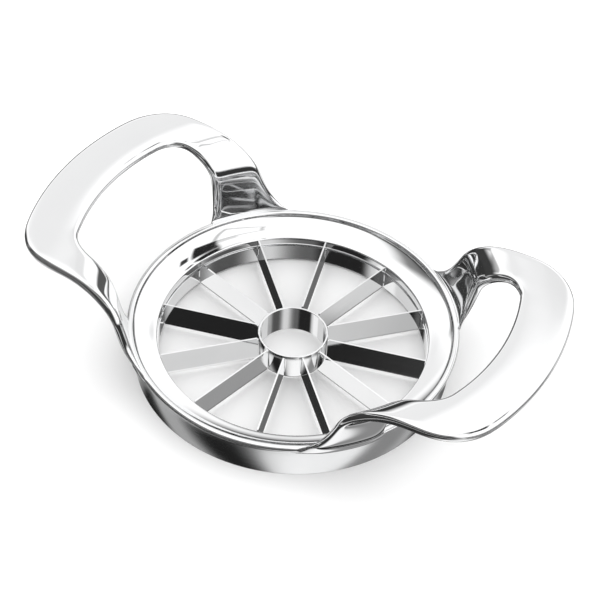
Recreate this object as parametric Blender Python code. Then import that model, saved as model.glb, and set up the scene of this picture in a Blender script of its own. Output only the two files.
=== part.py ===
"""Fruit slicer with twelve blades: a cast frame with two looped handles over a steel skirt and blade set.

Metres, +Z up. The origin is on the slicer's axis, on the table under the skirt. The handles lie along X.
"""

import math

import bmesh
import bpy
from mathutils import Matrix, Vector

# Seats: the running clearance between touching pieces, and how far a cutter runs past its work.
CLEARANCE = 0.0003
OVERRUN = 0.0010

# Hole and rim. Rises and drops are counted from the hole's upper edge, slopes and angles in degrees.
HOLE_RADIUS = 0.0500
EDGE_HEIGHT = 0.0115
EDGE_ROUND = 0.0005
CONE_SLOPE = 24.7
CONE_WIDTH = 0.0063
FLANK_SLOPE = 28.0
FLANK_WIDTH = 0.0018
RIM_WIDTH = 0.0111
BEAD_RISE = 0.0050
BEAD_ROUND = 0.0011
RIM_COLUMNS = 96
BEAD_TOP_ANGLES = (150.0, 120.0, 90.0)
BEAD_SIDE_ANGLES = (60.0, 0.0, -60.0)

# Underside: the web under the cone, the skirt's groove between its lip and rib, and the blade ring's collar.
WEB_WALL = 0.0022
GROOVE_WALL = 0.0017
LIP_WALL = 0.0007
LIP_DROP = 0.0008
RIB_WALL = 0.0008
RIB_DROP = 0.0013
UNDERSIDE_ROUND = 0.0005
LEDGE_DROP = 0.0037
COLLAR_DROP = 0.0062
COLLAR_WALL = 0.0018

# Handles: the strap's profile over the radius, and its outline seen from above.
RISER_INSET = 0.0006
RISER_FOOT = 0.0058
RISER_TILT = 77.7
BEND_RADIUS = 0.0183
ARCH_ANGLE = 6.8
ARCH_RADIUS = 0.0590
GRIP_RISE = 0.0364
FINGER_GAP = 0.0184
GRIP_WIDTH = 0.0201
OPENING_HALF = 0.0336
LEG_WIDTH = 0.0140
OPENING_CORNER = 0.0113
GRIP_CORNER = 0.0220
LEG_FLARE = 0.0280
LEG_FILLET = 0.0030
STRAP = 0.0034
STRAP_ROUND = 0.0009
FOOT_REACH = 0.0016
FOOT_DROP = 0.0030
FOOT_SHARE = 0.46
FOOT_BLEND = 0.0080
FOOT_CROWDING = 1.5
FOOT_FADE_SHARE = 0.6
RISER_STEPS = 4
BEND_STEPS = 6
CORNER_STEPS = 7
GRIP_STEPS = 5

# Skirt.
SKIRT_INSET = 0.0028
SKIRT_WALL = 0.0008
SKIRT_HEM = 0.0003

# Blade ring and its slots.
RING_STEP = 0.0008
RING_SEAT = 0.0003
RING_HEIGHT = 0.0067
RING_BEVEL = 0.0004
SLOT_SHARE = 0.68

# Core ring.
CORE_RADIUS = 0.0121
CORE_WALL = 0.0008
CORE_HEIGHT = 0.0108
CORE_BEVEL = 0.0005
CORE_COLUMNS = 60

# Blades.
BLADES = 12
BLADE_WALL = 0.0006
BLADE_TIP = 0.0001
BLADE_HEIGHT = 0.0104
BLADE_BEVEL = 0.0021
BLADE_RELIEF = 0.0005

# Places worked out from the sizes above.
RIM_RADIUS = HOLE_RADIUS + RIM_WIDTH
RISER_RADIUS = RIM_RADIUS - RISER_INSET
OPENING_REACH = RIM_RADIUS + FINGER_GAP
GRIP_REACH = OPENING_REACH + GRIP_WIDTH
LEG_HALF = OPENING_HALF + LEG_WIDTH
SKIRT_RADIUS = RIM_RADIUS - SKIRT_INSET
RING_INNER = HOLE_RADIUS - RING_STEP
RING_OUTER = HOLE_RADIUS + RING_SEAT
LEDGE_HEIGHT = EDGE_HEIGHT - LEDGE_DROP
RING_BOTTOM = LEDGE_HEIGHT - RING_HEIGHT
SLOT_BOTTOM = LEDGE_HEIGHT - RING_HEIGHT * SLOT_SHARE
BLADE_BOTTOM = EDGE_HEIGHT - BLADE_HEIGHT
CORE_OUTER = CORE_RADIUS + CORE_WALL

MATERIALS = {
    "frame_chrome": ((0.86, 0.87, 0.88), 0.05),
    "skirt_steel": ((0.72, 0.73, 0.74), 0.28),
    "ring_steel": ((0.78, 0.79, 0.80), 0.12),
    "core_steel": ((0.80, 0.81, 0.82), 0.10),
    "blade_steel": ((0.76, 0.77, 0.78), 0.14),
}


def clear_scene():
    for obj in list(bpy.data.objects):
        bpy.data.objects.remove(obj, do_unlink=True)


def metal(name):
    """A bare metal: its colour and roughness come from the table above."""
    colour, roughness = MATERIALS[name]
    material = bpy.data.materials.get(name) or bpy.data.materials.new(name)
    material.use_nodes = True
    shader = material.node_tree.nodes["Principled BSDF"]
    shader.inputs["Base Color"].default_value = (*colour, 1.0)
    shader.inputs["Metallic"].default_value = 1.0
    shader.inputs["Roughness"].default_value = roughness
    return material


def finish(bm, name, material, sharp=35.0):
    """Closes the mesh's books and hangs it on an object of its own."""
    bmesh.ops.recalc_face_normals(bm, faces=bm.faces)
    mesh = bpy.data.meshes.new(name)
    bm.to_mesh(mesh)
    bm.free()
    mesh.shade_smooth()
    mesh.set_sharp_from_angle(angle=math.radians(sharp))
    mesh.materials.append(metal(material))
    obj = bpy.data.objects.new(name, mesh)
    bpy.context.scene.collection.objects.link(obj)
    return obj


def polar(radius, azimuth, height):
    """A point from its radius, its azimuth in degrees and its height."""
    turn = math.radians(azimuth)
    return Vector((radius * math.cos(turn), radius * math.sin(turn), height))


def turned(name, profile, columns, material):
    """A closed profile of (radius, height) points, spun once round the axis."""
    bm = bmesh.new()
    verts = [bm.verts.new((radius, 0, height)) for radius, height in profile]
    edges = [bm.edges.new(pair) for pair in zip(verts, verts[1:] + verts[:1])]
    bmesh.ops.spin(
        bm, geom=verts + edges, cent=(0, 0, 0), axis=(0, 0, 1), angle=math.tau, steps=columns, use_merge=True
    )
    return finish(bm, name, material)


def arc_points(centre, radius, angles):
    """Points of an arc in the plane of the profile, at these angles in degrees."""
    across, up = centre
    turns = [math.radians(angle) for angle in angles]
    return [(across + radius * math.cos(turn), up + radius * math.sin(turn)) for turn in turns]


def cone_height(radius):
    """The height of the rim's cone at a radius."""
    return EDGE_HEIGHT + (radius - HOLE_RADIUS) * math.tan(math.radians(CONE_SLOPE))


def rim_top():
    """The rim's upper side from the ledge outwards: the inner wall, rounded edge, cone, flank and bead."""
    square = 90.0
    centre = (HOLE_RADIUS + EDGE_ROUND, EDGE_HEIGHT - EDGE_ROUND)
    last = square + CONE_SLOPE
    edge = arc_points(centre, EDGE_ROUND, (square + square, (square + last) / 2, last))
    valley = HOLE_RADIUS + CONE_WIDTH
    middle = (HOLE_RADIUS + valley) / 2
    cone = [(middle, cone_height(middle)), (valley, cone_height(valley))]
    flank = (valley + FLANK_WIDTH, cone_height(valley) + FLANK_WIDTH * math.tan(math.radians(FLANK_SLOPE)))
    bead = arc_points(bead_centre(), BEAD_ROUND, BEAD_TOP_ANGLES)
    return [(HOLE_RADIUS, LEDGE_HEIGHT + CLEARANCE)] + edge + cone + [flank] + bead


def bead_centre():
    return RIM_RADIUS - BEAD_ROUND, EDGE_HEIGHT + BEAD_RISE - BEAD_ROUND


def bead_side():
    """The bead's outer side. A foot leaves the rim between its first point and the lip's lower edge."""
    return arc_points(bead_centre(), BEAD_ROUND, BEAD_SIDE_ANGLES)


def groove_roof():
    """The height of the roof of the skirt's groove, a wall's thickness under the rim's upper side."""
    return cone_height(SKIRT_RADIUS - SKIRT_WALL) - GROOVE_WALL


def rim_underside():
    """The rim's lower side from the bead inwards: the lip, the groove, the rib, the web and the collar."""
    roof = groove_roof()
    outer = SKIRT_RADIUS + CLEARANCE
    inner = SKIRT_RADIUS - SKIRT_WALL - CLEARANCE
    bore = RING_OUTER + CLEARANCE
    collar = bore + COLLAR_WALL
    rib = inner - RIB_WALL
    lip = [(outer + LIP_WALL, roof - LIP_DROP), (outer, roof - LIP_DROP)]
    groove = [(outer, roof), (inner, roof), (inner, roof - RIB_DROP), (rib, roof - RIB_DROP)]
    web = [
        (rib, cone_height(rib) - WEB_WALL - UNDERSIDE_ROUND),
        (rib - UNDERSIDE_ROUND, cone_height(rib) - WEB_WALL),
        (collar + UNDERSIDE_ROUND, cone_height(collar) - WEB_WALL),
        (collar, cone_height(collar) - WEB_WALL - UNDERSIDE_ROUND),
    ]
    foot = EDGE_HEIGHT - COLLAR_DROP
    return lip + groove + web + [(collar, foot), (bore, foot), (bore, LEDGE_HEIGHT + CLEARANCE)]


def arch_centres():
    """The centres, as (radius, height), of the strap's bend over the riser and of its long arch."""
    tilt = math.radians(RISER_TILT)
    arch = math.radians(ARCH_ANGLE)
    top = EDGE_HEIGHT + GRIP_RISE
    arch_height = top - ARCH_RADIUS
    bend_height = arch_height + (ARCH_RADIUS - BEND_RADIUS) * math.cos(arch)
    riser_top = bend_height + BEND_RADIUS * math.cos(tilt)
    foot = EDGE_HEIGHT + RISER_FOOT
    riser_end = RISER_RADIUS + (riser_top - foot) / math.tan(tilt)
    bend_radius = riser_end + BEND_RADIUS * math.sin(tilt)
    arch_radius = bend_radius + (ARCH_RADIUS - BEND_RADIUS) * math.sin(arch)
    return (bend_radius, bend_height), (arch_radius, arch_height), riser_end


def strap_at(radius):
    """The height of the strap's upper face at a radius, and its slope as an angle."""
    bend, arch, riser_end = arch_centres()
    if radius <= riser_end:
        tilt = math.radians(RISER_TILT)
        return EDGE_HEIGHT + RISER_FOOT + (radius - RISER_RADIUS) * math.tan(tilt), tilt
    if radius <= bend[0] - BEND_RADIUS * math.sin(math.radians(ARCH_ANGLE)):
        slope = math.asin((bend[0] - radius) / BEND_RADIUS)
        return bend[1] + BEND_RADIUS * math.cos(slope), slope
    slope = math.asin((arch[0] - radius) / ARCH_RADIUS)
    return arch[1] + ARCH_RADIUS * math.cos(slope), slope


def corner_centre(reach, half, corner):
    """The centre of a corner that is tangent to an arc round the axis and to a line along X."""
    return math.sqrt((reach - corner) ** 2 - (half - corner) ** 2), half - corner


def foot_centre(half, fillet):
    """The radius and azimuth of the centre of the fillet between the riser's foot and a leg's line."""
    away = RISER_RADIUS + abs(fillet)
    return away, math.degrees(math.asin((half + fillet) / away))


def leg_line(radius, half):
    """The azimuth at which a line along X crosses this radius."""
    return math.degrees(math.asin(half / radius))


def fillet_end(half, fillet):
    """The radius at which the foot's fillet runs out into the leg's line along X."""
    away, middle = foot_centre(half, fillet)
    return math.hypot(away * math.cos(math.radians(middle)), half)


def leg_edge(radius, half, fillet):
    """The azimuth of a leg's edge at a radius: a fillet at the foot, then a line along X. The fillet is
    negative on the opening's side."""
    away, middle = foot_centre(half, fillet)
    if radius >= fillet_end(half, fillet):
        return leg_line(radius, half)
    cosine = (radius**2 + away**2 - fillet**2) / (2 * radius * away)
    swing = math.degrees(math.acos(min(1.0, cosine)))
    return middle - math.copysign(swing, fillet)


def to_polar(x, y):
    return math.hypot(x, y), math.degrees(math.atan2(y, x))


def outer_corner(share):
    """A point of the grip's outer outline from the leg's line round its corner, by its share of the way."""
    start = math.sqrt(bend_end() ** 2 - LEG_HALF**2)
    x, y = corner_centre(GRIP_REACH, LEG_HALF, GRIP_CORNER)
    straight = x - start
    turn = math.pi / 2 - math.atan2(y, x)
    way = share * (straight + GRIP_CORNER * turn)
    if way <= straight:
        return to_polar(start + way, LEG_HALF)
    angle = math.pi / 2 - (way - straight) / GRIP_CORNER
    return to_polar(x + GRIP_CORNER * math.cos(angle), y + GRIP_CORNER * math.sin(angle))


def inner_corner(share):
    """A point of the opening's corner by its share of the way from the leg to the grip."""
    x, y = corner_centre(OPENING_REACH, OPENING_HALF, OPENING_CORNER)
    angle = math.pi / 2 - share * (math.pi / 2 - math.atan2(y, x))
    return to_polar(x + OPENING_CORNER * math.cos(angle), y + OPENING_CORNER * math.sin(angle))


def bend_end():
    """The radius at which the opening's corner starts and the strap begins to turn into the grip."""
    return math.hypot(corner_centre(OPENING_REACH, OPENING_HALF, OPENING_CORNER)[0], OPENING_HALF)


def leg_radii():
    """The radii of the stations up the riser, close together at its flared foot, and over the bend."""
    bend, _, riser_end = arch_centres()
    riser = [
        RISER_RADIUS + (riser_end - RISER_RADIUS) * (step / RISER_STEPS) ** FOOT_CROWDING
        for step in range(RISER_STEPS + 1)
    ]
    last = math.asin((bend[0] - bend_end()) / BEND_RADIUS)
    first = math.radians(RISER_TILT)
    slopes = [first + (last - first) * step / BEND_STEPS for step in range(1, BEND_STEPS + 1)]
    return riser + [bend[0] - BEND_RADIUS * math.sin(slope) for slope in slopes]


def stations():
    """Pairs of plan points, on the opening's edge and the outer edge, from the foot to the grip's middle."""
    pairs = []
    for radius in leg_radii():
        inner = leg_edge(radius, OPENING_HALF, -LEG_FILLET)
        outer = leg_edge(radius, LEG_HALF, LEG_FLARE)
        pairs.append(((radius, inner), (radius, outer)))
    for step in range(1, CORNER_STEPS + 1):
        pairs.append((inner_corner(step / CORNER_STEPS), outer_corner(step / CORNER_STEPS)))
    for step in range(1, GRIP_STEPS + 1):
        left = 1.0 - step / GRIP_STEPS
        (_, inner_azimuth), (_, outer_azimuth) = inner_corner(1.0), outer_corner(1.0)
        pairs.append(((OPENING_REACH, inner_azimuth * left), (GRIP_REACH, outer_azimuth * left)))
    return pairs


def thickness_share(radius, azimuth):
    """The share of the strap's thickness at a place: it thins where the foot flares past the leg's lines."""
    for half, fillet in ((LEG_HALF, LEG_FLARE), (OPENING_HALF, -LEG_FILLET)):
        flare = foot_centre(half, fillet)[1] - leg_line(RISER_RADIUS, half)
        past = (azimuth - leg_line(radius, half)) / flare
        if past > 0 and radius < fillet_end(half, fillet):
            return 1 - FOOT_FADE_SHARE * min(1, past)
    return 1


def foot_share(height):
    """The share of the strap's thickness at a height: the riser's back runs down and in to the rim's lip."""
    left = 1 - (height - EDGE_HEIGHT - RISER_FOOT) / FOOT_BLEND
    return 1 - (1 - FOOT_SHARE) * max(0, left) ** 2


def strap_point(radius, azimuth, depth, at_foot):
    """A point of the strap, this deep under its upper face. At the foot the strap's lower face is mitred."""
    height, slope = strap_at(radius)
    share = thickness_share(radius, azimuth)
    if at_foot:
        return polar(radius + FOOT_REACH * share * depth / STRAP, azimuth, height - FOOT_DROP * depth / STRAP)
    depth *= share * foot_share(height)
    return polar(radius + depth * math.sin(slope), azimuth, height - depth * math.cos(slope))


def strap_ring(inner, outer, at_foot=False):
    """The strap's section at a station as a loop of points: the upper face from the opening outwards, the
    outer side, the lower face back, and the opening's side."""
    first, last = foot_columns()
    columns = last - first
    inset = STRAP_ROUND / math.dist(polar(*inner, 0), polar(*outer, 0))
    shares = [inset + (1 - inset - inset) * column / columns for column in range(columns + 1)]
    places = [(share, 0) for share in shares]
    places += [(1, STRAP_ROUND), (1, STRAP - STRAP_ROUND)]
    places += [(share, STRAP) for share in reversed(shares)]
    places += [(0, STRAP - STRAP_ROUND), (0, STRAP_ROUND)]
    ring = []
    for share, depth in places:
        radius = inner[0] + (outer[0] - inner[0]) * share
        azimuth = inner[1] + (outer[1] - inner[1]) * share
        ring.append(strap_point(radius, azimuth, depth, at_foot))
    return ring


def foot_columns():
    """The rim's first and last columns under a leg's foot, counted from the handle's axis."""
    step = 360.0 / RIM_COLUMNS
    first = round(foot_centre(OPENING_HALF, -LEG_FILLET)[1] / step)
    last = round(foot_centre(LEG_HALF, LEG_FLARE)[1] / step)
    return first, last


def foot_ring(rim, rows, side, turn):
    """The rim's own vertices that a leg's section starts from, in the order of strap_ring."""
    first, last = foot_columns()
    columns = [rim[(turn + side * column) % RIM_COLUMNS] for column in range(first, last + 1)]
    upper, over, under, lower = rows
    ring = [column[upper] for column in columns]
    ring += [columns[-1][over], columns[-1][under]]
    ring += [column[lower] for column in reversed(columns)]
    ring += [columns[0][under], columns[0][over]]
    return ring


def skin(bm, first, second):
    """Quads between two loops with as many vertices."""
    for index in range(len(first)):
        after = (index + 1) % len(first)
        bm.faces.new((first[index], first[after], second[after], second[index]))


def rim_vertices(bm, profile, rows):
    """A column of vertices for each step round the rim, without the bead's side inside the legs' feet."""
    first, last = foot_columns()
    half = RIM_COLUMNS // 2
    rim = []
    for column in range(RIM_COLUMNS):
        from_axis = min(column % half, half - column % half)
        hollow = rows[1:-1] if first < from_axis < last else ()
        azimuth = 360.0 * column / RIM_COLUMNS
        rim.append([
            None if row in hollow else bm.verts.new(polar(radius, azimuth, height))
            for row, (radius, height) in enumerate(profile)
        ])
    return rim


def rim_faces(bm, rim, rows):
    """Quads round the rim, left open where a leg's foot leaves the bead."""
    first, last = foot_columns()
    half = RIM_COLUMNS // 2
    count = len(rim[0])
    for column in range(RIM_COLUMNS):
        after = (column + 1) % RIM_COLUMNS
        middle = (column % half) + 0.5
        from_axis = min(middle, half - middle)
        for row in range(count):
            if first < from_axis < last and row in rows[:-1]:
                continue
            below = (row + 1) % count
            bm.faces.new((rim[column][row], rim[after][row], rim[after][below], rim[column][below]))


def add_handle(bm, rim, rows, turn):
    """One looped strap, lofted up one leg, over the grip and down the other leg."""
    pairs = stations()
    spin = Matrix.Rotation(math.tau * turn / RIM_COLUMNS, 3, "Z")
    crown = [bm.verts.new(spin @ point) for point in strap_ring(*pairs[-1])]
    for side in (1, -1):
        flip = Matrix.Diagonal((1, side, 1))
        chain = [foot_ring(rim, rows, side, turn)]
        for index, pair in enumerate(pairs[:-1]):
            points = strap_ring(*pair, at_foot=index == 0)
            chain.append([bm.verts.new(spin @ (flip @ point)) for point in points])
        chain.append(crown)
        for lower, upper in zip(chain, chain[1:]):
            skin(bm, lower, upper)


def frame_casting():
    """The rim and both handles, cast in one piece."""
    top = rim_top()
    side = bead_side()
    profile = top + side + rim_underside()
    rows = range(len(top), len(top) + len(side) + 1)
    bm = bmesh.new()
    rim = rim_vertices(bm, profile, rows)
    rim_faces(bm, rim, rows)
    for turn in (0, RIM_COLUMNS // 2):
        add_handle(bm, rim, rows, turn)
    return finish(bm, "frame_casting", "frame_chrome")


def outer_skirt():
    """The steel band that stands on the table, with its upper edge in the rim's groove."""
    inner = SKIRT_RADIUS - SKIRT_WALL
    top = groove_roof() - CLEARANCE
    profile = [
        (SKIRT_RADIUS, top),
        (SKIRT_RADIUS, SKIRT_HEM),
        (SKIRT_RADIUS - SKIRT_HEM, 0),
        (inner, 0),
        (inner, top),
    ]
    return turned("outer_skirt", profile, RIM_COLUMNS, "skirt_steel")


def slot_cutter():
    """Twelve boxes that cut the blades' slots down from the ring's upper edge."""
    bm = bmesh.new()
    width = BLADE_WALL + CLEARANCE + CLEARANCE
    length = RING_OUTER - RING_INNER + OVERRUN + OVERRUN
    height = LEDGE_HEIGHT - SLOT_BOTTOM + OVERRUN
    middle = ((RING_OUTER + RING_INNER) / 2, 0, SLOT_BOTTOM + height / 2)
    for blade in range(BLADES):
        spin = Matrix.Rotation(math.tau * (blade + 0.5) / BLADES, 4, "Z")
        size = Matrix.Diagonal((length, width, height, 1))
        bmesh.ops.create_cube(bm, size=1, matrix=spin @ Matrix.Translation(middle) @ size)
    cutter = finish(bm, "slot_cutter", "ring_steel")
    cutter.hide_render = True
    cutter.display_type = "WIRE"
    return cutter


def blade_ring():
    """The thin ring that carries the blades' outer ends in slots, and cuts round the fruit."""
    profile = [
        (RING_OUTER, LEDGE_HEIGHT),
        (RING_OUTER, RING_BOTTOM + RING_BEVEL + RING_BEVEL),
        (RING_INNER + RING_BEVEL, RING_BOTTOM),
        (RING_INNER, RING_BOTTOM),
        (RING_INNER, LEDGE_HEIGHT),
    ]
    ring = turned("blade_ring", profile, RIM_COLUMNS, "ring_steel")
    cut = ring.modifiers.new("slots", "BOOLEAN")
    cut.operation = "DIFFERENCE"
    cut.solver = "EXACT"
    cut.object = slot_cutter()
    return ring


def core_ring():
    """The ring in the middle that cuts the core out, sharpened on the outside of its lower edge."""
    bottom = EDGE_HEIGHT - CORE_HEIGHT
    profile = [
        (CORE_OUTER, EDGE_HEIGHT),
        (CORE_OUTER, bottom + BLADE_BEVEL),
        (CORE_OUTER - CORE_BEVEL, bottom),
        (CORE_RADIUS, bottom),
        (CORE_RADIUS, EDGE_HEIGHT),
    ]
    return turned("core_ring", profile, CORE_COLUMNS, "core_steel")


def blade_outline():
    """A blade seen from its side as (radius, height) points, from the lower edge's inner end outwards.
    The outer end is stepped: it stops short of the ring's lower half, passes through the slot and
    ends against the casting above."""
    inner = CORE_OUTER + CLEARANCE
    low = RING_INNER - CLEARANCE
    top = HOLE_RADIUS - CLEARANCE
    bevel = BLADE_BOTTOM + BLADE_BEVEL
    return [
        (inner, BLADE_BOTTOM),
        (low, BLADE_BOTTOM),
        (low, bevel),
        (low, SLOT_BOTTOM + CLEARANCE),
        (RING_OUTER, SLOT_BOTTOM + CLEARANCE),
        (RING_OUTER, LEDGE_HEIGHT),
        (top, LEDGE_HEIGHT),
        (top, EDGE_HEIGHT),
        (inner + BLADE_RELIEF, EDGE_HEIGHT),
        (inner + BLADE_RELIEF, EDGE_HEIGHT - BLADE_RELIEF),
        (inner, EDGE_HEIGHT - BLADE_RELIEF),
        (inner, bevel),
    ]


def blade_mesh():
    """A flat blade whose lower edge tapers on both sides to a tip."""
    outline = blade_outline()
    bm = bmesh.new()
    sides = []
    for side in (1, -1):
        half = [BLADE_TIP / 2 if height == BLADE_BOTTOM else BLADE_WALL / 2 for _, height in outline]
        sides.append([
            bm.verts.new((radius, side * width, height)) for (radius, height), width in zip(outline, half)
        ])
    count = len(outline)
    for index in range(count):
        after = (index + 1) % count
        bm.faces.new((sides[0][index], sides[0][after], sides[1][after], sides[1][index]))
    for verts in sides:
        bm.faces.new([verts[0], verts[1], verts[2], verts[-1]])
        bm.faces.new(verts[2:])
    return bm


def add_blades():
    """Twelve alike, the handles' axis midway between two of them."""
    mesh = None
    for blade in range(BLADES):
        name = f"blade_{blade + 1:02d}"
        if mesh is None:
            obj = finish(blade_mesh(), name, "blade_steel", sharp=5.0)
            mesh = obj.data
        else:
            obj = bpy.data.objects.new(name, mesh)
            bpy.context.scene.collection.objects.link(obj)
        obj.rotation_euler.z = math.tau * (blade + 0.5) / BLADES


def build():
    clear_scene()
    frame_casting()
    outer_skirt()
    blade_ring()
    core_ring()
    add_blades()


build()
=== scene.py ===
import math

import bmesh
import bpy
from mathutils import Matrix, Quaternion, Vector


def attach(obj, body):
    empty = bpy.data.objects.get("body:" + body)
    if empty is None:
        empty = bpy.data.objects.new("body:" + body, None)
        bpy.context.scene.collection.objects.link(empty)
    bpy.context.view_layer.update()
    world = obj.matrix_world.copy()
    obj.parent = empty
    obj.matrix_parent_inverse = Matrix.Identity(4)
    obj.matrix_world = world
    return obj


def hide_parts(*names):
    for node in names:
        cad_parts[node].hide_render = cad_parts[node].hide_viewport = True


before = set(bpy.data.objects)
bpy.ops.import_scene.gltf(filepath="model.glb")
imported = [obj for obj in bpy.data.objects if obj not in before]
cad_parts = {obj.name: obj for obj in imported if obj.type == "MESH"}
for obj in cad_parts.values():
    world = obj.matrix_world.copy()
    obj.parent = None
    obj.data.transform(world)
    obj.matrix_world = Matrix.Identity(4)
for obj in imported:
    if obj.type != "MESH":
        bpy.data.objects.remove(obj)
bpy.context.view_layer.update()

# A fruit slicer with twelve blades, in its frame: +Z up, the table at zero, the handles along X.
# Sizes are in metres, heights are counted from the table, and angles are in degrees. EDGE is the height
# of the hole's upper edge, HOLE and RIM are the rim's inner and outer radius, and every seat keeps GAP.
EDGE = 0.0115
HOLE = 0.0500
RIM = 0.0611
GAP = 0.0003

# Rim, as a section of (radius, height) points that is spun: the hole's edge, the dish that rises from it
# to a small fillet, and the bead with its inner and its outer round.
EDGE_ROUND = 0.0005
WALL_RISE = 0.0010
CONE_SLOPE = 24.7
DISH_START = 13.0
DISH_END = (0.0579, EDGE + 0.00325)
DISH_REACHES = (0.0010, 0.0028, 0.0046, 0.0062, 0.0072)
DISH_FILLET = 0.0016
DISH_FILLET_END = 60.0
DISH_FILLET_STEPS = 3
BEAD_RISE = 0.0050
BEAD_ROUND = 0.0011
BEAD = (RIM - BEAD_ROUND, EDGE + BEAD_RISE - BEAD_ROUND)
BEAD_INNER_ROUND = 0.00075
BEAD_INNER = (DISH_END[0] + 0.0014, EDGE + BEAD_RISE - BEAD_INNER_ROUND)
EDGE_ANGLES = (180, 150, 120, 90 + DISH_START)
BEAD_INNER_ANGLES = (170, 143, 116, 90)
BEAD_TOP_ANGLES = (88, 60)
BEAD_SIDE_ANGLES = (0, -60)
RIM_STEP = 3.75

# Rim's underside: the groove for the skirt between its lip and rib, the web, and the blade ring's collar.
WEB_WALL = 0.0022
GROOVE_WALL = 0.0017
LIP_WALL = 0.0007
LIP_DROP = 0.0008
RIB_WALL = 0.0008
RIB_DROP = 0.0013
UNDER_ROUND = 0.0005
LEDGE = EDGE - 0.0037
COLLAR_FOOT = EDGE - 0.0062
COLLAR_WALL = 0.0018

# Handles: the strap's upper face over the radius, which climbs the riser, turns over the bend and runs
# out on the arch.
RISER = 0.0605
RISER_FOOT = EDGE + 0.0058
RISER_TILT = 77.7
BEND = 0.0183
ARCH_ANGLE = 6.8
ARCH = 0.0590
TOP = EDGE + 0.0364

# Handles: the strap's outline from above, the opening's edge and the outer edge with their corners.
OPENING_REACH = 0.0795
GRIP_REACH = 0.0996
OPENING_HALF = 0.0336
LEG_HALF = 0.0476
OPENING_CORNER = 0.0113
GRIP_CORNER = 0.0220
FLARE = 0.0280
FILLET = 0.0030

# Handles: the strap's thickness and how it thins at the foot, then its rounded section, as how far in
# from the opening's edge or from the outer edge and how deep.
STRAP = 0.0034
FOOT_REACH = 0.0016
FOOT_DROP = 0.0030
FOOT_SHARE = 0.46
FOOT_BLEND = 0.0080
FOOT_FADE = 0.6
OPENING_EDGE = ((0.0004, 0.0008), (0.0012, 0.00025), (0.0026, 0.0))
OUTER_EDGE = ((0.0016, 0.0), (0.0005, 0.0003))
SIDE_DEPTHS = (0.0014, 0.0028)
BACK_INSET = 0.0006

# Handles: the stations at which the strap is drawn out, crowded towards the foot.
RISER_STEPS = 6
RISER_CROWDING = 1.6
BEND_STEPS = 7
CORNER_STEPS = 9
GRIP_STEPS = 5

# Skirt, blade ring, core ring and blades.
SKIRT = 0.0583
SKIRT_WALL = 0.0008
SKIRT_HEM = 0.0003
RING_INNER = 0.0495
RING_OUTER = 0.0503
RING_FOOT = 0.0011
RING_HEIGHT = 0.0067
RING_TAPER = 0.0004
SLOT_SHARE = 0.68
SLOT_FOOT = LEDGE - SLOT_SHARE * RING_HEIGHT
CUTTER_REACH = 0.004
CUTTER_OVERRUN = 0.002
CORE = 0.0121
CORE_WALL = 0.0008
CORE_FOOT = EDGE - 0.0108
CORE_ROUND = 0.0001
CORE_TAPER = 0.0005
BLADES = 12
BLADE_WALL = 0.0006
BLADE_FOOT = EDGE - 0.0104
BLADE_BEVEL = 0.0009
BLADE_RELIEF = 0.0005
BLADE_TIP = 0.0001

# Meshes: the columns of each spun ring, how near two corners are merged, and the angle that stays sharp.
SKIRT_COLUMNS = 256
RING_COLUMNS = 240
CORE_COLUMNS = 192
MERGE = 0.00001
SEAM = 0.00002
SHARP = 30.0


def polar(radius, azimuth, height):
    """A place from its distance from the axis, its azimuth and its height."""
    turn = math.radians(azimuth)
    return Vector((radius * math.cos(turn), radius * math.sin(turn), height))


def arc(centre, radius, angles):
    """The points of an arc in the section, one at each angle."""
    return [(centre[0] + radius * math.cos(math.radians(angle)),
             centre[1] + radius * math.sin(math.radians(angle))) for angle in angles]


def deselect():
    """Leaves edit mode and selects nothing."""
    if bpy.context.object and bpy.context.object.mode != "OBJECT":
        bpy.ops.object.mode_set(mode="OBJECT")
    bpy.ops.object.select_all(action="DESELECT")


def only(piece):
    """Makes this piece the selected and active one."""
    deselect()
    piece.select_set(True)
    bpy.context.view_layer.objects.active = piece


def seat(piece, name, material, node):
    """Names and paints a finished piece and hangs it on the slicer's body in place of its plain solid."""
    piece.name = name
    piece.data.name = name
    piece.data.materials.clear()
    piece.data.materials.append(material)
    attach(piece, "root")
    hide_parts(node)


def section(profile):
    """A closed outline of (radius, height) points as an object in the X-Z plane, open in edit mode."""
    deselect()
    bpy.ops.mesh.primitive_circle_add(vertices=len(profile), radius=HOLE)
    piece = bpy.context.object
    for vertex, (radius, height) in zip(piece.data.vertices, profile):
        vertex.co = (radius, 0, height)
    bpy.ops.object.mode_set(mode="EDIT")
    bpy.ops.mesh.select_all(action="SELECT")
    return piece


def outwards():
    """Merges the doubles of the mesh in edit mode and turns its faces outwards."""
    bpy.ops.mesh.select_all(action="SELECT")
    bpy.ops.mesh.remove_doubles(threshold=MERGE)
    bpy.ops.mesh.normals_make_consistent(inside=False)
    bpy.ops.object.mode_set(mode="OBJECT")


def spun(profile, columns):
    """The outline spun once round the slicer's axis."""
    piece = section(profile)
    bpy.ops.mesh.spin(steps=columns, angle=math.tau, center=(0, 0, 0), axis=(0, 0, 1))
    outwards()
    bpy.ops.object.shade_smooth_by_angle(angle=math.radians(SHARP))
    return piece


def cone(radius):
    """The height of the rim's mean slope at a radius, which its underside follows."""
    return EDGE + (radius - HOLE) * math.tan(math.radians(CONE_SLOPE))


def dish(radius):
    """The height of the rim's upper face, which steepens from the hole towards the bead."""
    start, share = math.tan(math.radians(DISH_START)), (radius - HOLE) / (DISH_END[0] - HOLE)
    mean = (DISH_END[1] - EDGE) / (DISH_END[0] - HOLE)
    return EDGE + (radius - HOLE) * (start + (mean - start) * share)


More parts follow.
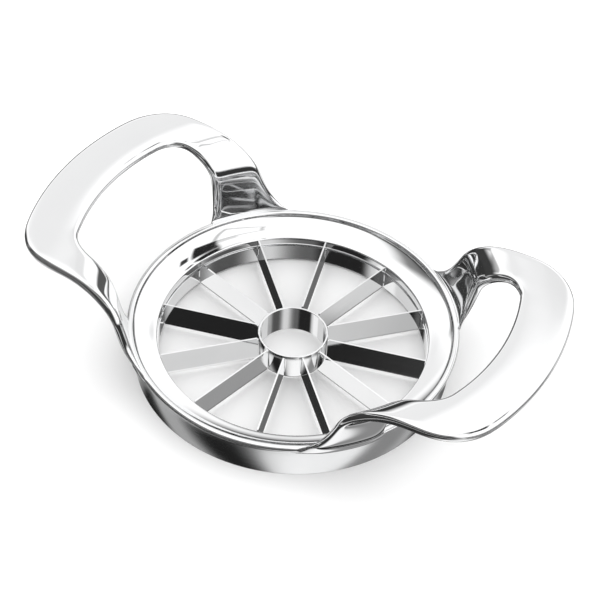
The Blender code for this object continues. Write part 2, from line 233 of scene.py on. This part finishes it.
def dish_fillet():
    """The hollow in which the dish turns up into the bead's inner side."""
    mean = (DISH_END[1] - EDGE) / (DISH_END[0] - HOLE)
    slope = math.degrees(math.atan(2 * mean - math.tan(math.radians(DISH_START))))
    turn = math.radians(slope)
    centre = (DISH_END[0] - DISH_FILLET * math.sin(turn), DISH_END[1] + DISH_FILLET * math.cos(turn))
    steps = range(DISH_FILLET_STEPS + 1)
    return arc(centre, DISH_FILLET,
               [slope - 90 + (DISH_FILLET_END - slope) * step / DISH_FILLET_STEPS for step in steps])


def rim_section():
    """The rim's closed section, and the rows of it between which a leg leaves the rim."""
    edge = arc((HOLE + EDGE_ROUND, EDGE - EDGE_ROUND), EDGE_ROUND, EDGE_ANGLES)
    rise = [(HOLE + reach, dish(HOLE + reach)) for reach in DISH_REACHES]
    bead_top = arc(BEAD_INNER, BEAD_INNER_ROUND, BEAD_INNER_ANGLES) + arc(BEAD, BEAD_ROUND, BEAD_TOP_ANGLES)
    bead_side = arc(BEAD, BEAD_ROUND, BEAD_SIDE_ANGLES)
    roof = cone(SKIRT - SKIRT_WALL) - GROOVE_WALL
    outer, inner = SKIRT + GAP, SKIRT - SKIRT_WALL - GAP
    rib, bore = inner - RIB_WALL, RING_OUTER + GAP
    collar = bore + COLLAR_WALL
    under = [
        (outer + LIP_WALL, roof - LIP_DROP),
        (outer, roof - LIP_DROP),
        (outer, roof),
        (inner, roof),
        (inner, roof - RIB_DROP),
        (rib, roof - RIB_DROP),
        (rib, cone(rib) - WEB_WALL - UNDER_ROUND),
        (rib - UNDER_ROUND, cone(rib) - WEB_WALL),
        (collar + UNDER_ROUND, cone(collar) - WEB_WALL),
        (collar, cone(collar) - WEB_WALL - UNDER_ROUND),
        (collar, COLLAR_FOOT),
        (bore, COLLAR_FOOT),
        (bore, LEDGE + GAP),
    ]
    wall = [(HOLE, LEDGE + GAP), (HOLE, LEDGE + GAP + WALL_RISE)]
    before = wall + edge + rise + dish_fillet() + bead_top
    upper = len(before) - 1
    return before + bead_side + under, range(upper, upper + len(bead_side) + 2)


def arch_centres():
    """The centres, as (radius, height), of the strap's bend and of its long arch, and the riser's end."""
    tilt, low = math.radians(RISER_TILT), math.radians(ARCH_ANGLE)
    arch_height = TOP - ARCH
    bend_height = arch_height + (ARCH - BEND) * math.cos(low)
    riser_top = bend_height + BEND * math.cos(tilt)
    riser_end = RISER + (riser_top - RISER_FOOT) / math.tan(tilt)
    bend_radius = riser_end + BEND * math.sin(tilt)
    return (bend_radius, bend_height), (bend_radius + (ARCH - BEND) * math.sin(low), arch_height), riser_end


BEND_AT, ARCH_AT, RISER_END = arch_centres()


def strap_at(radius):
    """The height and slope of the handles' upper face at a radius."""
    if radius <= RISER_END:
        tilt = math.radians(RISER_TILT)
        return RISER_FOOT + (radius - RISER) * math.tan(tilt), tilt
    if radius <= BEND_AT[0] - BEND * math.sin(math.radians(ARCH_ANGLE)):
        slope = math.asin((BEND_AT[0] - radius) / BEND)
        return BEND_AT[1] + BEND * math.cos(slope), slope
    slope = math.asin((ARCH_AT[0] - radius) / ARCH)
    return ARCH_AT[1] + ARCH * math.cos(slope), slope


def corner(reach, half, radius):
    """The centre of a round corner between an edge at this reach from the axis and a straight side."""
    return math.sqrt((reach - radius) ** 2 - (half - radius) ** 2), half - radius


def foot(half, fillet):
    """The radius and azimuth of the centre of the fillet at a leg's foot."""
    away = RISER + abs(fillet)
    return away, math.degrees(math.asin((half + fillet) / away))


def leg_line(radius, half):
    """The azimuth of a leg's straight side at a radius."""
    return math.degrees(math.asin(half / radius))


def fillet_end(half, fillet):
    """The radius at which the fillet at a leg's foot runs into its straight side."""
    away, middle = foot(half, fillet)
    return math.hypot(away * math.cos(math.radians(middle)), half)


def leg_edge(radius, half, fillet):
    """The azimuth of a leg's edge: a fillet at its foot, then straight along the handle."""
    away, middle = foot(half, fillet)
    if radius >= fillet_end(half, fillet):
        return leg_line(radius, half)
    cosine = (radius ** 2 + away ** 2 - fillet ** 2) / (2 * radius * away)
    return middle - math.copysign(math.degrees(math.acos(min(1.0, cosine))), fillet)


def flat(x, y):
    """The radius and azimuth of a place on the plan."""
    return math.hypot(x, y), math.degrees(math.atan2(y, x))


INNER_CORNER = corner(OPENING_REACH, OPENING_HALF, OPENING_CORNER)
OUTER_CORNER = corner(GRIP_REACH, LEG_HALF, GRIP_CORNER)
LEG_END = math.hypot(INNER_CORNER[0], OPENING_HALF)


def outer_outline(share):
    """A place on the outer outline, by its share of the way from the leg's end round the grip's corner."""
    x, y = OUTER_CORNER
    start = math.sqrt(LEG_END ** 2 - LEG_HALF ** 2)
    way = share * (x - start + GRIP_CORNER * (math.pi / 2 - math.atan2(y, x)))
    if way <= x - start:
        return flat(start + way, LEG_HALF)
    angle = math.pi / 2 - (way - x + start) / GRIP_CORNER
    return flat(x + GRIP_CORNER * math.cos(angle), y + GRIP_CORNER * math.sin(angle))


def inner_outline(share):
    """A place on the opening's edge, by its share of the way round the opening's corner."""
    x, y = INNER_CORNER
    angle = math.pi / 2 - share * (math.pi / 2 - math.atan2(y, x))
    return flat(x + OPENING_CORNER * math.cos(angle), y + OPENING_CORNER * math.sin(angle))


def stations():
    """Pairs of (radius, azimuth), on the opening's edge and on the outer edge, from foot to mid-grip."""
    first, last = math.radians(RISER_TILT), math.asin((BEND_AT[0] - LEG_END) / BEND)
    legs = [RISER + (RISER_END - RISER) * (step / RISER_STEPS) ** RISER_CROWDING
            for step in range(RISER_STEPS + 1)]
    legs += [BEND_AT[0] - BEND * math.sin(first + (last - first) * step / BEND_STEPS)
             for step in range(1, BEND_STEPS + 1)]
    pairs = [((radius, leg_edge(radius, OPENING_HALF, -FILLET)),
              (radius, leg_edge(radius, LEG_HALF, FLARE))) for radius in legs]
    for step in range(1, CORNER_STEPS + 1):
        pairs.append((inner_outline(step / CORNER_STEPS), outer_outline(step / CORNER_STEPS)))
    for step in range(1, GRIP_STEPS + 1):
        left = 1.0 - step / GRIP_STEPS
        pairs.append(((OPENING_REACH, inner_outline(1)[1] * left),
                      (GRIP_REACH, outer_outline(1)[1] * left)))
    return pairs


def thickness(radius, azimuth):
    """The share of the strap's thickness: it thins out where the foot flares past the leg's lines."""
    for half, fillet in ((LEG_HALF, FLARE), (OPENING_HALF, -FILLET)):
        past = (azimuth - leg_line(radius, half)) / (foot(half, fillet)[1] - leg_line(RISER, half))
        if past > 0 and radius < fillet_end(half, fillet):
            return 1 - FOOT_FADE * min(1, past)
    return 1


def foot_share(height):
    """The share of the strap's thickness up the riser, whose back runs down and in to the rim's lip."""
    return 1 - (1 - FOOT_SHARE) * max(0, 1 - (height - RISER_FOOT) / FOOT_BLEND) ** 2


def strap_point(radius, azimuth, depth, at_foot):
    """A place so deep under the strap's upper face. At the foot the depth runs down the rim's side."""
    height, slope = strap_at(radius)
    share = thickness(radius, azimuth)
    if at_foot:
        reach = radius + FOOT_REACH * share * depth / STRAP
        return polar(reach, azimuth, height - FOOT_DROP * depth / STRAP)
    depth *= share * foot_share(height)
    return polar(radius + depth * math.sin(slope), azimuth, height - depth * math.cos(slope))


def strap_loop(inner, outer, columns, at_foot):
    """The strap's section at a station, from the opening outwards over the top and back underneath."""
    across = (polar(*outer, 0) - polar(*inner, 0)).length
    first, last = OPENING_EDGE[-1][0] / across, 1 - OUTER_EDGE[0][0] / across
    middle = columns + 1 - len(OPENING_EDGE) - len(OUTER_EDGE)
    top = [(inset / across, depth) for inset, depth in OPENING_EDGE]
    top += [(first + (last - first) * (column + 1) / (middle + 1), 0) for column in range(middle)]
    top += [(1 - inset / across, depth) for inset, depth in OUTER_EDGE]
    inset = BACK_INSET / across
    back = [(inset + (1 - 2 * inset) * column / columns, STRAP) for column in range(columns + 1)]
    shallow, deep = SIDE_DEPTHS
    places = top + [(1, shallow), (1, deep)] + back[::-1] + [(0, deep), (0, shallow)]
    return [strap_point(inner[0] + (outer[0] - inner[0]) * share, inner[1] + (outer[1] - inner[1]) * share,
                        depth, at_foot) for share, depth in places]


def foot_columns():
    """The rim's columns at which a leg's foot starts and ends, counted from the handle's middle."""
    return tuple(round(foot(half, fillet)[1] / RIM_STEP)
                 for half, fillet in ((OPENING_HALF, -FILLET), (LEG_HALF, FLARE)))


def open_foot(piece, profile, rows):
    """Takes the bead's outer side out between the foot's columns.

    The edges round the hole are left selected, and their corners are returned in order.
    """
    first, last = foot_columns()
    mesh = bmesh.from_edit_mesh(piece.data)
    place = {}
    for vertex in mesh.verts:
        column = round(math.degrees(math.atan2(vertex.co.y, vertex.co.x)) / RIM_STEP)
        across = (math.hypot(vertex.co.x, vertex.co.y), vertex.co.z)
        place[column, min(range(len(profile)), key=lambda n: math.dist(profile[n], across))] = vertex
    columns = range(first, last + 1)
    upper, over, beneath, lower = rows
    loop = [place[column, upper] for column in columns] + [place[last, over], place[last, beneath]]
    loop += [place[column, lower] for column in reversed(columns)]
    loop += [place[first, beneath], place[first, over]]
    inside = {place[column, row] for column in columns for row in rows}
    bpy.ops.mesh.select_all(action="DESELECT")
    for face in mesh.faces:
        face.select_set(set(face.verts) <= inside)
    bpy.ops.mesh.delete(type="FACE")
    mesh = bmesh.from_edit_mesh(piece.data)
    bpy.ops.mesh.select_mode(type="EDGE")
    for start, end in zip(loop, loop[1:] + loop[:1]):
        mesh.edges.get((start, end)).select_set(True)
    return [vertex.co.copy() for vertex in loop]


def drawn_out(piece, loop, targets):
    """Extrudes the selected edges and moves each new corner from its place in the loop to its target."""
    bpy.ops.mesh.extrude_region_move()
    mesh = bmesh.from_edit_mesh(piece.data)
    for vertex in [vertex for vertex in mesh.verts if vertex.select]:
        nearest = min(range(len(loop)), key=lambda n: (vertex.co - loop[n]).length)
        vertex.co = targets[nearest]
    bmesh.update_edit_mesh(piece.data)
    return targets


def frame_casting(material):
    """The rim with both handles, in one mesh.

    A quarter of the rim is spun, the bead is opened at the foot, the leg is drawn out from there, station
    by station, to the middle of the grip, and the quarter is mirrored twice.
    """
    profile, rows = rim_section()
    piece = section(profile)
    bpy.ops.mesh.spin(steps=round(90 / RIM_STEP), angle=-math.pi / 2, center=(0, 0, 0), axis=(0, 0, 1))
    loop = open_foot(piece, profile, rows)
    first, last = foot_columns()
    for index, pair in enumerate(stations()):
        loop = drawn_out(piece, loop, strap_loop(*pair, last - first, index == 0))
    bpy.ops.mesh.select_mode(type="VERT")
    bpy.ops.object.mode_set(mode="OBJECT")
    mirror = piece.modifiers.new("both handles", "MIRROR")
    mirror.use_axis = (True, True, False)
    mirror.merge_threshold = SEAM
    bpy.ops.object.modifier_apply(modifier="both handles")
    bpy.ops.object.mode_set(mode="EDIT")
    outwards()
    smooth = piece.modifiers.new("smooth", "SUBSURF")
    smooth.levels = smooth.render_levels = 2
    bpy.ops.object.modifier_apply(modifier="smooth")
    bpy.ops.object.shade_smooth()
    seat(piece, "frame_shell", material, "frame_casting")


def outer_skirt(material):
    """The band on the table: a short hem round its foot, its upper edge in the rim's groove."""
    top = cone(SKIRT - SKIRT_WALL) - GROOVE_WALL - GAP
    profile = [
        (SKIRT, top),
        (SKIRT, SKIRT_HEM),
        (SKIRT - SKIRT_HEM / 3, SKIRT_HEM / 3),
        (SKIRT - SKIRT_HEM, 0),
        (SKIRT - SKIRT_WALL, 0),
        (SKIRT - SKIRT_WALL, top),
    ]
    seat(spun(profile, SKIRT_COLUMNS), "skirt_band", material, "outer_skirt")


def blade_azimuth(blade):
    """The direction of a blade. None lies along the handles."""
    return 360 * (blade + 0.5) / BLADES


def slot_cutters():
    """Twelve bars across the ring, one for each blade, joined."""
    deselect()
    width, height = BLADE_WALL + 2 * GAP, LEDGE - SLOT_FOOT + CUTTER_OVERRUN
    cutters = []
    for blade in range(BLADES):
        azimuth = blade_azimuth(blade)
        middle = polar((RING_INNER + RING_OUTER) / 2, azimuth, SLOT_FOOT + height / 2)
        bpy.ops.mesh.primitive_cube_add(size=1, location=middle, rotation=(0, 0, math.radians(azimuth)))
        cutter = bpy.context.object
        cutter.scale = (CUTTER_REACH, width, height)
        cutters.append(cutter)
    deselect()
    for cutter in cutters:
        cutter.select_set(True)
    bpy.context.view_layer.objects.active = cutters[0]
    bpy.ops.object.join()
    return bpy.context.object


def blade_ring(material):
    """The thin ring in the rim's collar, tapered at its foot and slotted from above for the blades."""
    profile = [
        (RING_OUTER, LEDGE),
        (RING_OUTER, RING_FOOT + 2 * RING_TAPER),
        (RING_INNER + RING_TAPER, RING_FOOT),
        (RING_INNER, RING_FOOT),
        (RING_INNER, LEDGE),
    ]
    piece = spun(profile, RING_COLUMNS)
    cutter = slot_cutters()
    only(piece)
    cut = piece.modifiers.new("slots", "BOOLEAN")
    cut.operation, cut.solver, cut.object = "DIFFERENCE", "EXACT", cutter
    bpy.ops.object.modifier_apply(modifier="slots")
    bpy.data.objects.remove(cutter, do_unlink=True)
    only(piece)
    bpy.ops.object.shade_smooth_by_angle(angle=math.radians(SHARP))
    seat(piece, "slotted_ring", material, "blade_ring")


def core_ring(material):
    """The short tube in the middle, its upper edge broken and its foot ground from outside."""
    outer = CORE + CORE_WALL
    profile = [
        (outer - CORE_ROUND, EDGE),
        (outer, EDGE - CORE_ROUND),
        (outer, CORE_FOOT + BLADE_BEVEL),
        (outer - CORE_TAPER, CORE_FOOT),
        (CORE, CORE_FOOT),
        (CORE, EDGE - CORE_ROUND),
        (CORE + CORE_ROUND, EDGE),
    ]
    seat(spun(profile, CORE_COLUMNS), "core_tube", material, "core_ring")


def blade_outline():
    """A blade seen from its side, from the lower edge's inner end outwards.

    Its outer end is stepped: it passes through the ring's slot and ends against the casting above.
    """
    inner, low, top = CORE + CORE_WALL + GAP, RING_INNER - GAP, HOLE - GAP
    bevel = BLADE_FOOT + BLADE_BEVEL
    return [
        (inner, BLADE_FOOT),
        (low, BLADE_FOOT),
        (low, bevel),
        (low, SLOT_FOOT + GAP),
        (RING_OUTER, SLOT_FOOT + GAP),
        (RING_OUTER, LEDGE),
        (top, LEDGE),
        (top, EDGE),
        (inner + BLADE_RELIEF, EDGE),
        (inner + BLADE_RELIEF, EDGE - BLADE_RELIEF),
        (inner, EDGE - BLADE_RELIEF),
        (inner, bevel),
    ]


def first_blade():
    """A blade along X: its outline is filled, given its wall and ground to an edge from both sides."""
    piece = section(blade_outline())
    bpy.ops.mesh.edge_face_add()
    bpy.ops.mesh.select_all(action="SELECT")
    bpy.ops.mesh.extrude_region_move(TRANSFORM_OT_translate={"value": (0, BLADE_WALL, 0)})
    bpy.ops.mesh.select_all(action="SELECT")
    bpy.ops.transform.translate(value=(0, -BLADE_WALL / 2, 0))
    bpy.ops.mesh.bisect(plane_co=(0, 0, BLADE_FOOT + BLADE_BEVEL), plane_no=(0, 0, 1))
    bpy.ops.mesh.select_all(action="DESELECT")
    mesh = bmesh.from_edit_mesh(piece.data)
    for vertex in mesh.verts:
        vertex.select = vertex.co.z < BLADE_FOOT + GAP
    mesh.select_flush(True)
    bmesh.update_edit_mesh(piece.data)
    bpy.ops.transform.resize(value=(1, BLADE_TIP / BLADE_WALL, 1), center_override=(0, 0, BLADE_FOOT))
    outwards()
    return piece


def blades(material):
    """One blade is shaped and the others are turned copies of it, each with a mesh of its own."""
    pattern = first_blade()
    for blade in range(BLADES):
        piece = pattern.copy()
        piece.data = pattern.data.copy()
        piece.data.transform(Matrix.Rotation(math.radians(blade_azimuth(blade)), 4, "Z"))
        bpy.context.scene.collection.objects.link(piece)
        node = f"blade_{blade + 1:02d}"
        seat(piece, f"wedge_{node}", material, node)
    bpy.data.objects.remove(pattern, do_unlink=True)


class Nodes:
    """A node tree in which each node is added with its settings and inputs in one call."""

    def __init__(self, tree):
        self.tree = tree

    def add(self, kind, inputs=(), **settings):
        node = self.tree.nodes.new(kind)
        for name, value in settings.items():
            setattr(node, name, value)
        for name, value in dict(inputs).items():
            if isinstance(value, bpy.types.NodeSocket):
                self.tree.links.new(value, node.inputs[name])
            else:
                node.inputs[name].default_value = value
        return node

    def maths(self, operation, first, second):
        """One step of arithmetic on numbers or on other nodes' outputs."""
        return self.add("ShaderNodeMath", {0: first, 1: second}, operation=operation).outputs[0]

    def span(self, value, start, end, low, high, shape="LINEAR"):
        """Turns a value's range from start to end into a range from low to high."""
        return self.add("ShaderNodeMapRange", {"Value": value, "From Min": start, "From Max": end,
                                               "To Min": low, "To Max": high},
                        interpolation_type=shape).outputs["Result"]


# The range that a noise mostly keeps to.
NOISE_LOW, NOISE_HIGH = 0.3, 0.7


class Paint(Nodes):
    """A metal: its shader, with a tint, a roughness and a relief that follow noises on the piece."""

    def __init__(self, name, colour):
        self.material = bpy.data.materials.new(name)
        self.material.use_nodes = True
        super().__init__(self.material.node_tree)
        self.shader = self.tree.nodes["Principled BSDF"]
        self.shader.inputs["Base Color"].default_value = (*colour, 1)
        self.shader.inputs["Metallic"].default_value = 1
        self.place = self.add("ShaderNodeTexCoord").outputs["Object"]

    def noise(self, place, scale, detail):
        return self.add("ShaderNodeTexNoise",
                        {"Vector": place, "Scale": scale, "Detail": detail}).outputs["Fac"]

    def roughness(self, noise, low, high):
        """Lets the roughness follow a noise between two limits."""
        rough = self.span(noise, NOISE_LOW, NOISE_HIGH, low, high)
        self.tree.links.new(rough, self.shader.inputs["Roughness"])

    def relief(self, noise, depth):
        """A relief in the shading only, this many metres deep, that follows a noise."""
        bump = self.add("ShaderNodeBump", {"Height": noise, "Distance": depth, "Strength": 1.0})
        self.tree.links.new(bump.outputs["Normal"], self.shader.inputs["Normal"])

    def tint(self, value, dark, light):
        """Mixes two near shades of the metal.

        A mix node's colours share the names of its numbers, so its sockets are taken by their place.
        """
        mix = self.add("ShaderNodeMix", {"Factor": value}, data_type="RGBA")
        mix.inputs[6].default_value = (*dark, 1)
        mix.inputs[7].default_value = (*light, 1)
        self.tree.links.new(mix.outputs[2], self.shader.inputs["Base Color"])

    def round_the_axis(self, along, up):
        """Coordinates that run round the slicer's axis and up, stretched for brush lines."""
        split = self.add("ShaderNodeSeparateXYZ", {"Vector": self.place}).outputs
        turn = self.maths("MULTIPLY", self.maths("ARCTAN2", split["Y"], split["X"]), along)
        return self.add("ShaderNodeCombineXYZ",
                        {"X": turn, "Z": self.maths("MULTIPLY", split["Z"], up)}).outputs[0]

    def away_from_axis(self, along, up):
        """Coordinates that run outwards from the slicer's axis and up, stretched for grinding lines."""
        split = self.add("ShaderNodeSeparateXYZ", {"Vector": self.place}).outputs
        level = self.add("ShaderNodeCombineXYZ", {"X": split["X"], "Y": split["Y"]}).outputs[0]
        away = self.add("ShaderNodeVectorMath", {0: level}, operation="LENGTH").outputs["Value"]
        return self.add("ShaderNodeCombineXYZ",
                        {"X": self.maths("MULTIPLY", away, along),
                         "Z": self.maths("MULTIPLY", split["Z"], up)}).outputs[0]


def polished_chrome():
    """Mirror-polished chrome over a casting: faintly wavy, with a breath of haze and fine wipe marks."""
    paint = Paint("polished_chrome", (0.93, 0.932, 0.938))
    haze = paint.noise(paint.place, scale=60.0, detail=4.0)
    wiped = paint.add("ShaderNodeMapping", {"Vector": paint.place, "Scale": (900, 140, 900)}).outputs[0]
    wipes = paint.noise(wiped, scale=1.0, detail=2.0)
    mean = paint.maths("MULTIPLY", paint.maths("ADD", haze, wipes), 0.5)
    paint.roughness(mean, low=0.012, high=0.06)
    paint.tint(haze, dark=(0.915, 0.918, 0.925), light=(0.945, 0.946, 0.95))
    paint.relief(paint.noise(paint.place, scale=70.0, detail=1.0), depth=0.00002)
    return paint.material


def brushed(name, dark, light, rough, lines, depth, rounded=True):
    """Steel with lines brushed round the axis, or ground away from it along a blade."""
    paint = Paint(name, light)
    stretched = paint.round_the_axis(*lines) if rounded else paint.away_from_axis(*lines)
    fine = paint.noise(stretched, scale=1.0, detail=2.0)
    cloud = paint.noise(paint.place, scale=45.0, detail=3.0)
    paint.roughness(fine, *rough)
    paint.tint(paint.span(cloud, NOISE_LOW, NOISE_HIGH, 0.0, 1.0), dark, light)
    paint.relief(fine, depth)
    return paint.material


# The studio: the floor's width, how bright the white room, the sky and the table are, the elevations
# between which the table turns into the sky, and the cards. A card has its name, its azimuth from the
# front, its half width and soft edge, its lowest and highest elevation and their soft edge, and how bright
# it is.
FLOOR = 6
ROOM = 1.5
SKY = 1.14
TABLE = 0.70
TABLE_EDGE = (-32, -1)
CARDS = (
    ("far_grey", -143, 12, 16, 22, 34, 8, 0.91),
    ("right_grey", -152, 20, 14, 37, 43, 6, 0.90),
    ("left_grey", -173, 5, 5, 36, 41, 4, 0.85),
    ("right_fade", -107, 3, 5, 16, 26, 3, 0.52),
    ("back_fade", -133, 26, 9, -6, 1, 17, 0.14),
    ("side_haze", -66, 20, 13, 20, 55, 11, 0.24),
    ("side_flag", -97, 6, 8, -12, 16, 12, 0.045),
    ("front_dark", -18, 56, 20, -17, 46, 10, 0.045),
    ("front_strip", -18, 52, 10, 24, 27, 2, 0.95),
    ("low_strip", -18, 52, 10, -13, -10, 1.5, 0.85),
    ("floor_edge", 0, 180, 0, -8, 1, 6, 0.035),
    ("left_flag", 171, 4, 4, -12, 8, 6, 0.10),
    ("right_floor", 84, 20, 8, -32, -18, 1.5, 0.05),
    ("near_floor", -35, 60, 40, -38, -21, 3, 0.03),
    ("back_floor", 123, 12, 5, -36, -18, 1.5, 0.05),
    ("left_floor", -146, 19, 5, -36, -18, 1.5, 0.05),
    ("side_floor", -98, 7, 4, -36, -18, 1.5, 0.05),
    ("dish_mark", 157, 3, 2, 55.5, 57.5, 1, 0.05),
    ("ceiling_haze", 143, 6, 6, 68, 72, 2, 0.78),
    ("strip_rim", 127, 16, 2, 66, 80, 1, 0.60),
    ("strip_light", 127, 13, 2, 67.5, 79, 1, 1.14),
    ("dish_patch", 152, 10, 2, 60, 66.5, 1.5, 0.02),
    ("low_all", 0, 180, 0, -90, -52, 3, 0.42),
    ("low_panel", 56, 8, 54, -90, -52, 3, 1.02),
    ("low_front", -31, 6, 38, -90, -52, 3, 0.015),
    ("low_left", -122, 8, 20, -90, -52, 3, 0.02),
    ("low_right", 118, 6, 24, -90, -52, 3, 0.26),
    ("low_back", -153, 38, 16, -90, -56, 3, 0.02),
    ("under_left", -119, 4, 10, -49, -40, 2, 0.03),
    ("under_front_fade", 10, 8, 34, -49, -40, 2, 0.12),
    ("under_front", -13, 17, 12, -49, -40, 2, 0.018),
    ("under_right", 93, 4, 28, -49, -40, 2, 0.09),
    ("under_near", 121, 6, 6, -51, -45.9, 0.4, 0.34),
    ("under_white", -57, 8, 6, -49, -40, 2, 0.95),
    ("under_back", -176, 5, 9, -49, -40, 2, 0.15),
)


class Studio(Nodes):
    """The world: a white room over a pale table, with soft cards set up by direction."""

    def __init__(self):
        world = bpy.data.worlds.new("studio")
        bpy.context.scene.world = world
        world.use_nodes = True
        super().__init__(world.node_tree)
        away = self.add("ShaderNodeTexCoord").outputs["Generated"]
        self.up = self.add("ShaderNodeSeparateXYZ", {"Vector": away}).outputs["Z"]
        level = self.add("ShaderNodeVectorMath", {0: away, 1: (1, 1, 0)}, operation="MULTIPLY").outputs[0]
        self.level = self.add("ShaderNodeVectorMath", {0: level}, operation="NORMALIZE").outputs[0]
        self.shade = self.climb(*TABLE_EDGE, TABLE, SKY)

    def soft(self, value, start, end, low=0.0, high=1.0):
        """A soft change from low to high over a value's range."""
        return self.span(value, start, end, low, high, "SMOOTHSTEP")

    def climb(self, start, end, low=0.0, high=1.0):
        """A soft change from low to high between two elevations."""
        return self.soft(self.up, math.sin(math.radians(start)), math.sin(math.radians(end)), low, high)

    def card(self, name, azimuth, half, edge, low, high, rise, brightness):
        """Lays a card over what is there. One that reaches straight down or all round has no edge there."""
        masks = [self.climb(high + rise, high)]
        if low > -90:
            masks.append(self.climb(low - rise, low))
        if half < 180:
            turn = math.radians(azimuth)
            middle = (math.sin(turn), -math.cos(turn), 0)
            ahead = self.add("ShaderNodeVectorMath", {0: self.level, 1: middle}, operation="DOT_PRODUCT")
            masks.append(self.soft(ahead.outputs["Value"], math.cos(math.radians(half + edge)),
                                   math.cos(math.radians(half))))
        mask = masks[0]
        for other in masks[1:]:
            mask = self.maths("MULTIPLY", mask, other)
        self.shade = self.mixed(name, mask, self.shade, brightness)

    def mixed(self, label, share, first, second):
        """A share of the second brightness over the first, in a node that carries the label."""
        return self.add("ShaderNodeMix", {"Factor": share, "A": first, "B": second},
                        label=label).outputs["Result"]

    def finish(self):
        """The cards show in the metal's reflections only: the floor is lit by the plain white room."""
        mirrored = self.add("ShaderNodeLightPath").outputs["Is Glossy Ray"]
        both = self.mixed("room_or_cards", mirrored, ROOM, self.shade)
        self.tree.links.new(both, self.tree.nodes["Background"].inputs["Color"])


def studio():
    """The pale floor and the studio's light. The floor isn't mirrored in the metal, the cards are."""
    deselect()
    bpy.ops.mesh.primitive_plane_add(size=FLOOR, location=(0, 0, 0))
    floor = bpy.context.object
    floor.name = "floor"
    floor.visible_glossy = False
    material = bpy.data.materials.new("floor_white")
    material.use_nodes = True
    shader = material.node_tree.nodes["Principled BSDF"]
    shader.inputs["Base Color"].default_value = (0.95, 0.95, 0.95, 1)
    shader.inputs["Roughness"].default_value = 0.7
    shader.inputs["Specular IOR Level"].default_value = 0.1
    floor.data.materials.append(material)
    room = Studio()
    for card in CARDS:
        room.card(*card)
    room.finish()
    bpy.context.scene.view_settings.view_transform = "Standard"


# The camera: its lens and film in millimetres, where it stands and looks, and its turn about its own axis.
LENS, FILM = 122.6, 36
EYE = Vector((0.23771, -0.46213, 0.54197 + EDGE))
AIM = Vector((-0.005974, 0.015685, EDGE))
ROLL = 3.466


def camera():
    """The photograph's view: a long lens above the slicer's front right, turned a little."""
    data = bpy.data.cameras.new("camera")
    data.lens, data.sensor_width = LENS, FILM
    data.clip_start, data.clip_end = 0.05, 20
    piece = bpy.data.objects.new("camera", data)
    bpy.context.scene.collection.objects.link(piece)
    piece.location = EYE
    piece.rotation_mode = "QUATERNION"
    piece.rotation_quaternion = ((AIM - EYE).to_track_quat("-Z", "Y")
                                 @ Quaternion((0, 0, 1), math.radians(ROLL)))
    bpy.context.scene.camera = piece


frame_casting(polished_chrome())
outer_skirt(brushed("satin_steel", dark=(0.80, 0.805, 0.81), light=(0.88, 0.885, 0.89),
                    rough=(0.11, 0.17), lines=(5, 2600), depth=0.0000012))
blade_ring(brushed("ring_steel", dark=(0.86, 0.865, 0.87), light=(0.92, 0.922, 0.925),
                   rough=(0.05, 0.12), lines=(10, 3200), depth=0.0000015))
core_ring(brushed("core_steel", dark=(0.88, 0.885, 0.89), light=(0.93, 0.932, 0.935),
                  rough=(0.04, 0.10), lines=(6, 3200), depth=0.0000015))
blades(brushed("blade_steel", dark=(0.87, 0.875, 0.88), light=(0.93, 0.932, 0.935),
               rough=(0.03, 0.09), lines=(60, 3000), depth=0.000001, rounded=False))
studio()
camera()
